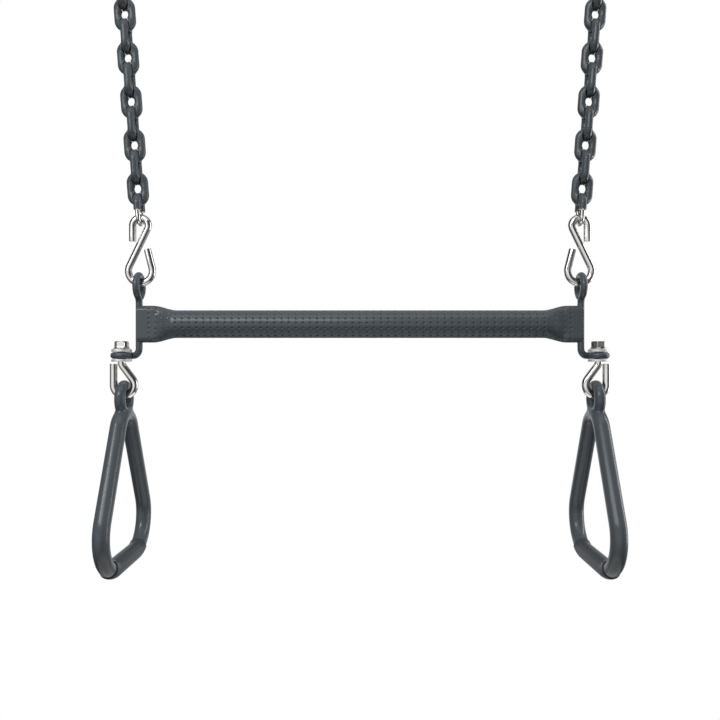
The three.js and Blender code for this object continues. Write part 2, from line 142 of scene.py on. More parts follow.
LOOP_INSET = (SWIVEL_BEND * (1 - math.cos(SWIVEL_LEAN)) + SWIVEL_SLANT * math.sin(SWIVEL_LEAN)
              - SWIVEL_LOOP * math.cos(SWIVEL_LEAN))
SWIVEL_LOOP_Z = (HOOK_BEND_Z - (SWIVEL_BEND + SWIVEL_LOOP) * math.sin(SWIVEL_LEAN)
                 - SWIVEL_SLANT * math.cos(SWIVEL_LEAN))
HANDLE_X = SWIVEL_X - LOOP_INSET
HANDLE_EYE_SEAT = BOLT_RADIUS + SEAT_GAP + EYE_BORE / 2 * (1 - math.cos(math.pi / EYE_STEPS))
HANDLE_EYE_Z = SWIVEL_LOOP_Z - SWIVEL_LOOP + HANDLE_EYE_SEAT + EYE_WIRE - EYE_RADIUS
HANDLE_Z = HANDLE_EYE_Z - EYE_SINK

# Detail that only this model has

BEND_STEP = 3.5  # degrees between the sections of a bend
RIM_ANGLES = (90, 70, 50, 30, 15, 0)
ROUNDING = 1e-9
ROD_SIDES = 36
ROD_CORNER = 1.6  # round rim at the wire's ends
HOOK_SIDES = 40
HOOK_CORNER = 0.55

TUBE_RIM = 0.55
TUBE_RIM_CUT = 0.16
FLARE_OVAL = 10  # how late the flare's sections turn from ovals into flat-sided ones
PIT_ROWS = 18
PIT_COLUMNS = 30  # on each side of the middle one
PIT_STEP = 7.2
PIT_LENGTH = 1.65
PIT_WIDTH = 1.15
PIT_DEPTH = 1.05
PIT_ROW_SHIFT = 0.12  # first row's place, as a share of the pitch of the rows
FLARE_PITS = {30: 0.75, 29: 0.6, 28: 0.34, 27: 0.3}  # shares of the depth by column
BORE_PLACES = (226, 220, 212, 205, 198, 192, 187, 180)

LINK_SIDES = 48
LINK_CROWN_STEPS = 40
LINK_LEG_STEPS = 16
COAT_WEB = 5.6  # fillet between a coat and the next one
COAT_GAP = 0.16
COAT_REACH = 7.0  # no coat is as thick as this
COAT_HALVINGS = 18
FLEX_STEPS = 9
BARE_FROM = 0.1  # how far from a link's middle its bare half begins
COAT_END_OFFSETS = (-0.5, -0.2, -0.05, -0.01, 0.01, 0.3)  # from the middle of a leg
FAR = 1e9

THREAD_START = 1.2
THREAD_LENGTH = 12.0
THREAD_PITCH = 1.25
THREAD_DEPTH = 0.55
THREAD_CORE = 2.6
THREAD_RUN_OUT = 1.5
THREAD_CUTS = 8  # sections in each turn
BOLT_CORNERS = (1.0, 0.6)

NUT_SIDES = 144
NUT_BORE = 4.12
NUT_CROWN_SLOPE = 0.957
NUT_EDGE = 0.12
NUT_CROWN_CUT = 0.18
NUT_SHARPNESS = 60
NUT_TURNS = {"left": math.radians(53), "right": math.radians(4)}
WASHER_SIDES = 96
WASHER_CORNER = 0.35
WASHER_CORNER_CUT = 0.1

HANDLE_SIDES = 40
EYE_RINGS = 72
EYE_COAT = 5.57  # thinner than the solid one, so that the handle has room at its limits
EYE_BLEND = 3.2
HANDLE_VOXEL = 0.95
HANDLE_PULLS = 6  # times that the rough skin is pulled onto the surface
LEAST_SLOPE = 0.3
TO_VOXELS, FROM_VOXELS = 0.1, 10
GRIP_SIDES = 56
GRIP_GAP = 0.08
GRIP_STEP = 1.5

SIDEWAYS = np.array([1.0, 0, 0])


# Shapes: points in millimetres, faces, and each point's place round and along its wire

class Shape:
    def __init__(self, points, faces, wire=None, normals=None):
        self.points = np.asarray(points, float).reshape(-1, 3)
        self.normals = normals
        self.faces = [tuple(int(i) for i in face) for face in faces]
        self.wire = np.zeros_like(self.points) if wire is None else np.asarray(wire, float)

    def moved(self, x=0.0, y=0.0, z=0.0):
        return Shape(self.points + [x, y, z], self.faces, self.wire, self.normals)

    def turned(self, axis, angle):
        first, second = {"X": (1, 2), "Y": (2, 0), "Z": (0, 1)}[axis]
        points = self.points.copy()
        cosine, sine = math.cos(angle), math.sin(angle)
        points[:, first] = cosine * self.points[:, first] - sine * self.points[:, second]
        points[:, second] = sine * self.points[:, first] + cosine * self.points[:, second]
        return Shape(points, self.faces, self.wire)

    def mirrored(self):
        points = self.points * [-1, 1, 1]
        return Shape(points, [face[::-1] for face in self.faces], self.wire)


def joined(*shapes):
    points, faces, wire = [], [], []
    count = 0
    for shape in shapes:
        points.append(shape.points)
        wire.append(shape.wire)
        faces += [tuple(i + count for i in face) for face in shape.faces]
        count += len(shape.points)
    return Shape(np.vstack(points), faces, np.vstack(wire))


def unit(vector):
    vector = np.asarray(vector, float)
    return vector / np.linalg.norm(vector)


def turn_about(vector, axis, angle):
    cosine, sine = math.cos(angle), math.sin(angle)
    along = axis * np.dot(axis, vector) * (1 - cosine)
    return vector * cosine + np.cross(axis, vector) * sine + along


class WirePath:
    """A centre line of straight runs and bends. A bend turns towards the side vector, or away
    from it where the angle is negative."""

    def __init__(self, start, heading, side):
        self.point = np.asarray(start, float)
        self.heading = unit(heading)
        self.side = unit(side)
        self.length = 0.0
        self.segments = []
        self.marks = [0.0]

    def straight(self, length):
        self.segments.append((self.length, length, self.point, self.heading, None, 0))
        self.point = self.point + self.heading * length
        self.length += length
        self.marks.append(self.length)

    def bend(self, radius, angle, step=BEND_STEP):
        axis = unit(np.cross(self.heading, self.side))
        signed = math.copysign(radius, angle)
        arc = radius * abs(angle)
        self.segments.append((self.length, arc, self.point, self.heading, axis, signed))
        centre = self.point + self.side * signed
        self.point = centre + turn_about(self.point - centre, axis, angle)
        self.heading = turn_about(self.heading, axis, angle)
        self.side = turn_about(self.side, axis, angle)
        steps = max(2, math.ceil(math.degrees(abs(angle)) / step))
        self.marks += [self.length + arc * i / steps for i in range(1, steps + 1)]
        self.length += arc

    def roll(self, angle):
        self.side = turn_about(self.side, self.heading, angle)

    def at(self, place):
        for start, length, point, heading, axis, radius in self.segments:
            if place <= start + length + ROUNDING:
                break
        run = place - start
        if axis is None:
            return point + heading * run, heading
        angle = run / radius
        centre = point + np.cross(axis, heading) * radius
        return centre + turn_about(point - centre, axis, angle), turn_about(heading, axis, angle)

    def reversed(self):
        return ReversedPath(self)


class ReversedPath:
    def __init__(self, path):
        self.path = path
        self.length = path.length
        self.marks = [path.length - mark for mark in reversed(path.marks)]

    def at(self, place):
        point, heading = self.path.at(self.length - place)
        return point, -heading


class ChainedPath:
    """One path that goes on where another ends."""

    def __init__(self, first, second):
        self.first, self.second = first, second
        self.length = first.length + second.length
        self.marks = first.marks + [first.length + mark for mark in second.marks[1:]]

    def at(self, place):
        if place <= self.first.length:
            return self.first.at(place)
        return self.second.at(place - self.first.length)


def circle_angles(sides):
    return 2 * math.pi * np.arange(sides) / sides


def circle(centre, radii, angles, across, up):
    return (centre + np.outer(radii * np.cos(angles), across)
            + np.outer(radii * np.sin(angles), up))


def rounded_end(radius, corner):
    """Depth from the end and radius, across a rounded rim with the given corner radius."""
    return [(corner * (1 - math.sin(a)), radius - corner * (1 - math.cos(a)))
            for a in np.radians(RIM_ANGLES)]


def ring_faces(count, sides, closed=False):
    """Quads between rings of equal size, the last of which may join the first."""
    faces = []
    for a in range(count if closed else count - 1):
        b = (a + 1) % count
        for i in range(sides):
            j = (i + 1) % sides
            faces.append((a * sides + i, a * sides + j, b * sides + j, b * sides + i))
    return faces


def sweep(path, radius, sides, across, corners, radius_at=None, extra=()):
    """A solid wire along a path, with rounded rims at its two ends."""
    clear = 0.05
    places = rounded_end(radius, corners[0])
    places += [(mark, radius) for mark in sorted(set(path.marks) | set(extra))
               if corners[0] + clear < mark < path.length - corners[1] - clear]
    places += [(path.length - depth, r) for depth, r in reversed(rounded_end(radius, corners[1]))]
    angles = circle_angles(sides)
    rings, wire = [], []
    across = np.asarray(across, float)
    for place, r in places:
        centre, heading = path.at(min(max(place, 0), path.length))
        across = unit(across - heading * np.dot(across, heading))
        radii = np.full(sides, r) if radius_at is None else radius_at(place, angles, r)
        rings.append(circle(centre, radii, angles, across, np.cross(heading, across)))
        wire.append(np.stack([radii * np.cos(angles), radii * np.sin(angles),
                              np.full(sides, place)], axis=1))
    faces = ring_faces(len(rings), sides)
    first = len(rings) * sides
    base = first - sides
    for i in range(sides):
        j = (i + 1) % sides
        faces.append((first, j, i))
        faces.append((first + 1, base + i, base + j))
    points = np.vstack(rings + [rings[0].mean(axis=0), rings[-1].mean(axis=0)])
    return Shape(points, faces, np.vstack(wire + [[0, 0, 0], [0, 0, path.length]]))


def ring_surface(rings, wire=None):
    """A closed surface through rings of equal size, as a tube bent round into a ring."""
    rings = np.asarray(rings, float)
    faces = ring_faces(rings.shape[0], rings.shape[1], closed=True)
    return Shape(rings, faces, None if wire is None else np.asarray(wire).reshape(-1, 3))


def turned_solid(rings):
    """A solid about Z from pairs of radii and heights; its wire places are its points."""
    angles = circle_angles(len(rings[0][0]))
    shape = ring_surface([np.stack([radii * np.cos(angles), radii * np.sin(angles), heights],
                                   axis=1) for radii, heights in rings])
    shape.wire = shape.points.copy()
    return shape


# Bar tube: one round tube, pressed flat at both ends, with rows of small pits in its skin

def smooth_step(share):
    share = np.clip(share, 0, 1)
    return share * share * (3 - 2 * share)


def tube_section(x, inset):
    """Half height and half thickness of the tube at a place along it, and how oval it is."""
    flat = 1 - smooth_step((TUBE_END - abs(x) - FLAT_LENGTH) / FLARE_LENGTH)
    height = TUBE_DIAMETER + (FLAT_HEIGHT - TUBE_DIAMETER) * flat
    thickness = TUBE_DIAMETER + (FLAT_THICKNESS - TUBE_DIAMETER) * flat
    return height / 2 - inset, thickness / 2 - inset, 1 - flat ** FLARE_OVAL


def section_points(x, inset, share):
    """Points and outward normals at shares of the girth, from the middle of the front upwards."""
    a, b, oval = tube_section(x, inset)
    s = a - b
    girth = 2 * math.pi * b + 4 * s
    u = (share * girth) % girth
    y, z = np.zeros_like(u), np.zeros_like(u)
    ny, nz = np.zeros_like(u), np.zeros_like(u)
    front_up = u < s
    y[front_up], z[front_up], ny[front_up] = -b, u[front_up], -1
    top = (u >= s) & (u < s + math.pi * b)
    angle = (u[top] - s) / b
    y[top], z[top] = -b * np.cos(angle), s + b * np.sin(angle)
    ny[top], nz[top] = -np.cos(angle), np.sin(angle)
    back = (u >= s + math.pi * b) & (u < 3 * s + math.pi * b)
    y[back], z[back], ny[back] = b, s - (u[back] - s - math.pi * b), 1
    foot = (u >= 3 * s + math.pi * b) & (u < 3 * s + 2 * math.pi * b)
    angle = (u[foot] - 3 * s - math.pi * b) / b
    y[foot], z[foot] = b * np.cos(angle), -s - b * np.sin(angle)
    ny[foot], nz[foot] = np.cos(angle), -np.sin(angle)
    front_low = u >= 3 * s + 2 * math.pi * b
    y[front_low], z[front_low], ny[front_low] = -b, u[front_low] - girth, -1
    turn = 2 * math.pi * share
    steepness = np.hypot(a * np.cos(turn), b * np.sin(turn))
    y += oval * (-b * np.cos(turn) - y)
    z += oval * (a * np.sin(turn) - z)
    ny += oval * (-np.cos(turn) * a / steepness - ny)
    nz += oval * (np.sin(turn) * b / steepness - nz)
    return y, z, ny, nz


def pit_depth(x, share):
    """Depth of the pressed pits; they fade where the tube's skin is stretched by the flare."""
    column = round(x / PIT_STEP)
    if abs(column) > PIT_COLUMNS:
        return np.zeros_like(share)
    along = (x - column * PIT_STEP) / PIT_LENGTH
    cell = share * PIT_ROWS - PIT_ROW_SHIFT
    across = (cell - np.round(cell)) * (math.pi * TUBE_DIAMETER / PIT_ROWS) / PIT_WIDTH
    reach = np.sqrt(along * along + across * across)
    floor, rim = 0.15, 0.85
    return PIT_DEPTH * FLARE_PITS.get(abs(column), 1.0) * (1 - smooth_step((reach - floor) / rim))


def bar_tube():
    along_pit = np.array([-1.9, -1.5, -1.15, -0.8, -0.4, 0, 0.4, 0.8, 1.15, 1.5, 1.9])
    along_pit = along_pit * PIT_LENGTH / along_pit[-1]
    across_pit = np.array([-1.0, -0.78, -0.52, -0.26, 0, 0.26, 0.52, 0.78, 1.0]) * PIT_WIDTH
    row_pitch = math.pi * TUBE_DIAMETER / PIT_ROWS
    share = np.array([(row + PIT_ROW_SHIFT + offset / row_pitch) / PIT_ROWS
                      for row in range(PIT_ROWS) for offset in [*across_pit, row_pitch / 2]])
    between, rim_room, end_rings = 0.6, 0.3, 7
    middle = [column * PIT_STEP + offset for column in range(-PIT_COLUMNS, PIT_COLUMNS + 1)
              for offset in [*along_pit, PIT_STEP / 2 - between, PIT_STEP / 2 + between]]
    ends = list(np.linspace(middle[-1], TUBE_END - TUBE_RIM - rim_room, end_rings + 1))
    rings = []

    def ring(x, inset, pits=False):
        y, z, ny, nz = section_points(x, inset, share)
        depth = pit_depth(x, share) if pits else 0
        rings.append(np.stack([np.full(len(share), x), y - ny * depth, z - nz * depth], axis=1))

    for x in [-x for x in reversed(ends)] + middle + ends[1:]:
        ring(x, 0, True)
    rim = [(0.0, TUBE_RIM), (TUBE_RIM_CUT, TUBE_RIM_CUT), (TUBE_RIM, 0.0),
           (TUBE_WALL - TUBE_RIM, 0.0), (TUBE_WALL - TUBE_RIM_CUT, TUBE_RIM_CUT),
           (TUBE_WALL, TUBE_RIM)]
    for inset, back in rim:
        ring(TUBE_END - back, inset)
    for x in [*BORE_PLACES, *[-x for x in reversed(BORE_PLACES)]]:
        ring(x, TUBE_WALL)
    for inset, back in reversed(rim):
        ring(-TUBE_END + back, inset)
    return ring_surface(rings)


# Hanger rod: a hanging eye above the bar, a foot bent out to a second eye that holds the swivel

def hanger_rod():
    neck_turn = math.acos(EYE_NECK_RADIUS / (EYE_NECK_RADIUS + UPPER_EYE_RADIUS))
    neck_rise = math.sqrt(UPPER_EYE_RADIUS ** 2 + 2 * EYE_NECK_RADIUS * UPPER_EYE_RADIUS)
    up = WirePath((ROD_X, 0, 0), (0, 0, 1), (0, -1, 0))
    up.straight(UPPER_EYE_RISE - neck_rise)
    up.bend(EYE_NECK_RADIUS, neck_turn)
    up.bend(UPPER_EYE_RADIUS, -UPPER_EYE_TURN)
    swing = math.asin(LOWER_EYE_RADIUS / LOWER_EYE_OFFSET)
    reach = math.sqrt(LOWER_EYE_OFFSET ** 2 - LOWER_EYE_RADIUS ** 2)
    down = WirePath((ROD_X, 0, 0), (0, 0, -1), (math.cos(swing), math.sin(swing), 0))
    down.straight(LOWER_EYE_DROP - ROD_BEND_RADIUS)
    down.bend(ROD_BEND_RADIUS, math.pi / 2)
    down.straight(reach - ROD_BEND_RADIUS)
    down.roll(math.pi / 2)
    down.bend(LOWER_EYE_RADIUS, LOWER_EYE_TURN)
    path = ChainedPath(up.reversed(), down)
    return sweep(path, ROD_RADIUS, ROD_SIDES, (0, -1, 0), (ROD_CORNER, ROD_CORNER))


# S-hook, its small loop up and centred on the origin

def s_hook():
    cross_angle = math.asin((SMALL_LOOP + LARGE_LOOP) / LOOP_SPACING)
    slant = math.sqrt(LOOP_SPACING ** 2 - (SMALL_LOOP + LARGE_LOOP) ** 2)
    path = WirePath((SMALL_LOOP, 0, -SMALL_LEG), (0, 0, 1), (-1, 0, 0))
    path.straight(SMALL_LEG)
    path.bend(SMALL_LOOP, math.pi + cross_angle)
    path.straight(slant)
    path.bend(LARGE_LOOP, -(math.pi + cross_angle + LARGE_LEG_LEAN))
    path.straight(LARGE_LEG)
    return sweep(path, HOOK_RADIUS, HOOK_SIDES, (-1, 0, 0), (HOOK_CORNER, HOOK_CORNER))


# Chain links: steel loops in a thick coat that makes room for the next link

LINK_HALF = LINK_LENGTH / 2 - CROWN_RADIUS  # from a link's middle to the centre of its crown


def loop_distance(width, normal, length):
    """Distance from a link's centre line, in the link's own directions."""
    planar = np.hypot(width, np.maximum(np.abs(length) - LINK_HALF, 0)) - CROWN_RADIUS
    return np.hypot(planar, normal)


def filleted(first, second, radius):
    """The lesser of two distances, with a round fillet where the surfaces meet."""
    corner = np.hypot(np.maximum(radius - first, 0), np.maximum(radius - second, 0))
    return np.maximum(radius, np.minimum(first, second)) - corner


def neighbour_distance(points, end, face_on):
    """Distances to the next link's centre line: at rest, and the least over all that it may turn.
    The hinge axis is level, so that it leans in the link by as much as the chain does."""
    pivot = end * (LINK_LENGTH / 2 if face_on else LINK_PITCH - LINK_LENGTH / 2)
    arms = points - [0, 0, pivot]
    distances = []
    for lean in (-CHAIN_SPLAY, CHAIN_SPLAY):
        level = math.cos(lean)
        axis = np.array([level, 0, math.sin(lean)] if face_on else [0, level, math.sin(lean)])
        for angle in np.radians(np.linspace(-LINK_FLEX, LINK_FLEX, FLEX_STEPS)):
            turned = (arms * math.cos(angle) + np.cross(axis, arms) * math.sin(angle)
                      + np.outer(arms @ axis, axis) * (1 - math.cos(angle)))
            distances.append(loop_distance(turned[:, 1], turned[:, 0],
                                           turned[:, 2] + pivot - end * LINK_PITCH))
    return distances[FLEX_STEPS // 2], np.min(distances, axis=0)


def link_stations():
    """Centres, outward directions and places along the wire, all round a link."""
    centres, outs, places = [], [], []
    run = 0.0
    for end in (1, -1):
        for i in range(LINK_CROWN_STEPS + 1):
            angle = math.pi * i / LINK_CROWN_STEPS
            x, z = -end * math.cos(angle), end * math.sin(angle)
            centres.append((CROWN_RADIUS * x, 0, end * LINK_HALF + CROWN_RADIUS * z))
            outs.append((x, 0, z))
            places.append(run + CROWN_RADIUS * angle)
        run += CROWN_RADIUS * math.pi
        for i in range(1, LINK_LEG_STEPS):
            centres.append((end * CROWN_RADIUS, 0, end * LINK_HALF * (1 - 2 * i / LINK_LEG_STEPS)))
            outs.append((end, 0, 0))
            places.append(run + 2 * LINK_HALF * i / LINK_LEG_STEPS)
        run += 2 * LINK_HALF
    return np.array(centres, float), np.array(outs, float), places


def split_legs(centres, outs, places):
    """Adds close stations at the middle of each leg, where a coat ends."""
    new_centres, new_outs, new_places = [], [], []
    for centre, out, place, following in zip(centres, outs, places, np.roll(centres, -1, axis=0)):
        new_centres.append(centre)
        new_outs.append(out)
        new_places.append(place)
        if centre[2] * following[2] < 0:
            heading = -1 if centre[2] > 0 else 1
            for offset in COAT_END_OFFSETS:
                new_centres.append([centre[0], centre[1], heading * offset])
                new_outs.append(out)
                new_places.append(place + abs(centre[2]) + offset)
    return np.array(new_centres), np.array(new_outs), new_places


def chain_link(face_on, coated_top=True, coated_foot=True):
    centres, outs, places = link_stations()
    if not (coated_top and coated_foot):
        centres, outs, places = split_legs(centres, outs, places)
    angles = circle_angles(LINK_SIDES)
    direction = (np.cos(angles)[None, :, None] * outs[:, None, :]
                 + np.sin(angles)[None, :, None] * np.array([0, -1, 0], float))
    low = np.full((len(centres), LINK_SIDES), LINK_WIRE)
    high = np.full((len(centres), LINK_SIDES), COAT_REACH)
    for _ in range(COAT_HALVINGS):
        middle = (low + high) / 2
        points = (centres[:, None, :] + direction * middle[:, :, None]).reshape(-1, 3)
        own = loop_distance(points[:, 0], points[:, 1], points[:, 2])
        skin = own - LINK_COAT
        room = np.full(len(points), FAR)
        for end, coated in ((1, coated_top), (-1, coated_foot)):
            if coated:
                at_rest, turned = neighbour_distance(points, end, face_on)
                skin = filleted(skin, at_rest - LINK_COAT, COAT_WEB)
                room = np.minimum(room, turned - own - COAT_GAP)
        fits = ((skin <= 0) & (room >= 0)).reshape(low.shape)
        low = np.where(fits, middle, low)
        high = np.where(fits, high, middle)
    softened = (2 * low + np.roll(low, 1, 0) + np.roll(low, -1, 0)
                + np.roll(low, 1, 1) + np.roll(low, -1, 1)) / 6
    radius = np.maximum(np.minimum(low, softened), LINK_WIRE)
    heights = centres[:, 2:]
    if not coated_top:
        radius = np.where(heights > 0, LINK_WIRE, radius)
    if not coated_foot:
        radius = np.where(heights < 0, LINK_WIRE, radius)
    rings = centres[:, None, :] + direction * radius[:, :, None]
    wire = np.stack([radius * np.cos(angles), radius * np.sin(angles),
                     np.repeat(np.array(places)[:, None], LINK_SIDES, axis=1)], axis=2)
    return ring_surface(rings, wire)


# Swivel: hook with a threaded shank, flange nut and two washers

def threaded_radius(place, angles, radius):
    if place > THREAD_LENGTH:
        return np.full(len(angles), radius)
    turn = (place / THREAD_PITCH - angles / (2 * math.pi)) % 1.0
    ridge = np.abs(turn * 2 - 1)
    run_out = min(1.0, (THREAD_LENGTH - place) / THREAD_RUN_OUT)
    return np.maximum(radius - THREAD_DEPTH * run_out * (1 - ridge), THREAD_CORE)


def swivel_hook():
    path = WirePath((0, 0, BOLT_TOP_Z), (0, 0, -1), (-1, 0, 0))
    path.straight(BOLT_TOP_Z - HOOK_BEND_Z)
    path.bend(SWIVEL_BEND, SWIVEL_LEAN)
    path.straight(SWIVEL_SLANT)
    path.bend(SWIVEL_LOOP, -(math.pi + SWIVEL_LEAN))
    path.straight(SWIVEL_TIP)
    return sweep(path, BOLT_RADIUS, HOOK_SIDES, (-1, 0, 0), BOLT_CORNERS, threaded_radius,
                 np.arange(THREAD_START, THREAD_LENGTH, THREAD_PITCH / THREAD_CUTS))


def hex_radius(angles):
    total = np.zeros_like(angles)
    for k in range(6):
        face = math.pi / 3 * k
        total += np.maximum(np.cos(angles - face - math.pi / 6), 0) ** NUT_SHARPNESS
    return NUT_FLAT / total ** (1 / NUT_SHARPNESS)


def flange_nut():
    hexagon = hex_radius(circle_angles(NUT_SIDES))

    def level(radius, height):
        return np.full(NUT_SIDES, radius), np.full(NUT_SIDES, height)

    # Radius and height from the bore's foot outwards, up the flange and over the crown
    bore = [(NUT_BORE, 0.5), (4.7, 0.0)]
    flange = [(NUT_FLANGE - inset, height) for inset, height in (
        (0.45, 0.0), (0.13, 0.13), (0.0, 0.4), (0.0, 0.6), (0.13, 0.8), (0.4, 0.95))]
    rings = [level(*place) for place in bore + flange]
    for spread, height in ((NUT_CROWN_CUT, 1.75), (0.0, 2.1), (0.0, 2.35)):
        rings.append((hexagon + spread, np.full(NUT_SIDES, height)))
    drop = (hexagon - NUT_FLAT) / NUT_CROWN_SLOPE + NUT_EDGE
    rings += [(hexagon, NUT_HEIGHT - drop - NUT_EDGE), (hexagon, NUT_HEIGHT - drop)]
    rings += [level(radius, NUT_HEIGHT - depth) for radius, depth in (
        (NUT_FLAT - NUT_CROWN_CUT, 0.0), (5.0, 0.0), (4.45, 0.5), (NUT_BORE, 1.0))]
    return turned_solid(rings)


def washer():
    corner = [(WASHER_CORNER, 0.0), (WASHER_CORNER_CUT, WASHER_CORNER_CUT), (0.0, WASHER_CORNER)]
    bore = BOLT_RADIUS + SEAT_GAP
    profile = [(bore + a, b) for a, b in reversed(corner)]
    profile += [(WASHER_RADIUS - a, b) for a, b in corner]
    profile += [(WASHER_RADIUS - a, WASHER_THICKNESS - b) for a, b in reversed(corner)]
    profile += [(bore + a, WASHER_THICKNESS - b) for a, b in corner]
    return turned_solid([(np.full(WASHER_SIDES, r), np.full(WASHER_SIDES, z)) for r, z in profile])


# Handle: a rounded triangle of thick bar with an eye run into its top

CORNER_RISE = FRAME_HEIGHT - CORNER_RADIUS - APEX_RADIUS
CENTRE_SPACING = math.hypot(BASE_HALF, CORNER_RISE)
SIDE_LEAN = (math.atan2(BASE_HALF, CORNER_RISE)
             + math.asin((CORNER_RADIUS - APEX_RADIUS) / CENTRE_SPACING))
SIDE_LENGTH = math.sqrt(CENTRE_SPACING ** 2 - (CORNER_RADIUS - APEX_RADIUS) ** 2)


def base_path(towards, turn, **step):
    """The handle's bottom bar from its middle, and its corner bend as far as the turn."""
    path = WirePath((0, 0, -FRAME_HEIGHT), (0, towards, 0), (0, 0, 1))
    path.straight(BASE_HALF)
    path.bend(CORNER_RADIUS, turn, **step)
    return path


def frame_line_distance(y, z):
    """Distance in the handle's plane from the frame's centre line."""
    y = np.abs(y)
    normal = np.array([math.cos(SIDE_LEAN), math.sin(SIDE_LEAN)])
    corner = np.array([BASE_HALF, -FRAME_HEIGHT + CORNER_RADIUS])
    apex = np.array([0.0, -APEX_RADIUS])
    start = corner + normal * CORNER_RADIUS
    along = np.array([-normal[1], normal[0]])
    run = (y - start[0]) * along[0] + (z - start[1]) * along[1]
    off = (y - start[0]) * normal[0] + (z - start[1]) * normal[1]
    side = np.hypot(off, np.maximum(np.maximum(-run, run - SIDE_LENGTH), 0))
    base = np.hypot(z + FRAME_HEIGHT, np.maximum(y - BASE_HALF, 0))
    cy, cz = y - corner[0], z - corner[1]
    in_corner = (cy >= 0) & (cy * along[0] + cz * along[1] <= 0)
    bend = np.where(in_corner, np.abs(np.hypot(cy, cz) - CORNER_RADIUS), FAR)
    ay, az = y - apex[0], z - apex[1]
    in_apex = ay * along[0] + az * along[1] >= 0
    top = np.where(in_apex, np.abs(np.hypot(ay, az) - APEX_RADIUS), FAR)
    return np.minimum(np.minimum(side, base), np.minimum(bend, top))


def handle_distance(points):
    """Distance from the skin of the bar and its eye, blended where they meet."""
    x, y, z = points[:, 0], points[:, 1], points[:, 2]
    bar = np.hypot(frame_line_distance(y, z), x) - FRAME_RADIUS
    ring = np.hypot(np.hypot(y, z - EYE_SINK) - EYE_RADIUS, x) - EYE_COAT
    mix = np.maximum(EYE_BLEND - np.abs(bar - ring), 0) / EYE_BLEND
    return np.minimum(bar, ring) - mix * mix * EYE_BLEND / 4


def handle_gradient(points, step=0.02):
    shifts = np.eye(3) * step
    return np.stack([handle_distance(points + shift) - handle_distance(points - shift)
                     for shift in shifts], axis=1) / (2 * step)


def handle_frame():
    """A rough skin of the bar and its eye, drawn onto the blended surface round both."""
    half = base_path(1, math.pi / 2 + SIDE_LEAN)
    half.straight(SIDE_LENGTH)
    half.bend(APEX_RADIUS, math.pi / 2 - SIDE_LEAN)
    line = [half.at(mark) for mark in half.marks]
    line += [(p * [1, -1, 1], h * [-1, 1, -1]) for p, h in reversed(line[1:-1])]
    angles = circle_angles(HANDLE_SIDES)
    loop = ring_surface([circle(centre, FRAME_RADIUS, angles, SIDEWAYS,
                                np.cross(heading, SIDEWAYS)) for centre, heading in line])
    rings = []
    for turn in circle_angles(EYE_RINGS):
        out = np.array([0, math.cos(turn), math.sin(turn)])
        rings.append(circle(out * EYE_RADIUS + [0, 0, EYE_SINK], EYE_WIRE, angles, out, -SIDEWAYS))
    rough = remeshed(joined(loop, ring_surface(rings)))
    points = rough.points
    for _ in range(HANDLE_PULLS):
        gradient = handle_gradient(points)
        slope = np.maximum((gradient ** 2).sum(axis=1), LEAST_SLOPE)
        points = points - gradient * (handle_distance(points) / slope)[:, None]
    gradient = handle_gradient(points)
    normals = gradient / np.linalg.norm(gradient, axis=1)[:, None]
    return Shape(points, rough.faces, points, normals)


def remeshed(shape):
    mesh = bpy.data.meshes.new("rough")
    mesh.from_pydata((shape.points * TO_VOXELS).tolist(), [], shape.faces)
    obj = bpy.data.objects.new("rough", mesh)
    bpy.context.scene.collection.objects.link(obj)
    modifier = obj.modifiers.new("remesh", "REMESH")
    modifier.mode = "VOXEL"
    modifier.voxel_size = HANDLE_VOXEL * TO_VOXELS
    evaluated = obj.evaluated_get(bpy.context.evaluated_depsgraph_get())
    result = evaluated.to_mesh()
    points = np.zeros(len(result.vertices) * 3)
    result.vertices.foreach_get("co", points)
    faces = [tuple(p.vertices) for p in result.polygons]
    evaluated.to_mesh_clear()
    bpy.data.objects.remove(obj)
    bpy.data.meshes.remove(mesh)
    return Shape(points.reshape(-1, 3) * FROM_VOXELS, faces)


def handle_grip():
    path = ChainedPath(base_path(-1, GRIP_WRAP, step=GRIP_STEP).reversed(),
                       base_path(1, GRIP_WRAP, step=GRIP_STEP))
    inner = FRAME_RADIUS + GRIP_GAP
    corner = (GRIP_RADIUS - inner) / 2
    middle = (GRIP_RADIUS + inner) / 2
    clear, inner_skip = 0.1, 8
    between = [m for m in path.marks if corner + clear < m < path.length - corner - clear]
    turns = np.radians([60, 30, 0, -30, -60])
    places = [(place, GRIP_RADIUS) for place in [corner, *between, path.length - corner]]
    places += [(path.length - corner + corner * math.cos(turn), middle + corner * math.sin(turn))
               for turn in turns]
    places += [(place, inner)
               for place in [path.length - corner, *between[::-inner_skip], corner]]
    places += [(corner - corner * math.cos(turn), middle + corner * math.sin(turn))
               for turn in reversed(turns)]
    angles = circle_angles(GRIP_SIDES)
    rings, wire = [], []
    for place, radius in places:
        centre, heading = path.at(min(max(place, 0), path.length))
        rings.append(circle(centre, radius, angles, SIDEWAYS, np.cross(heading, SIDEWAYS)))
        wire.append(np.stack([radius * np.cos(angles), radius * np.sin(angles),
                              np.full(GRIP_SIDES, place)], axis=1))
    return ring_surface(rings, wire)


# Materials

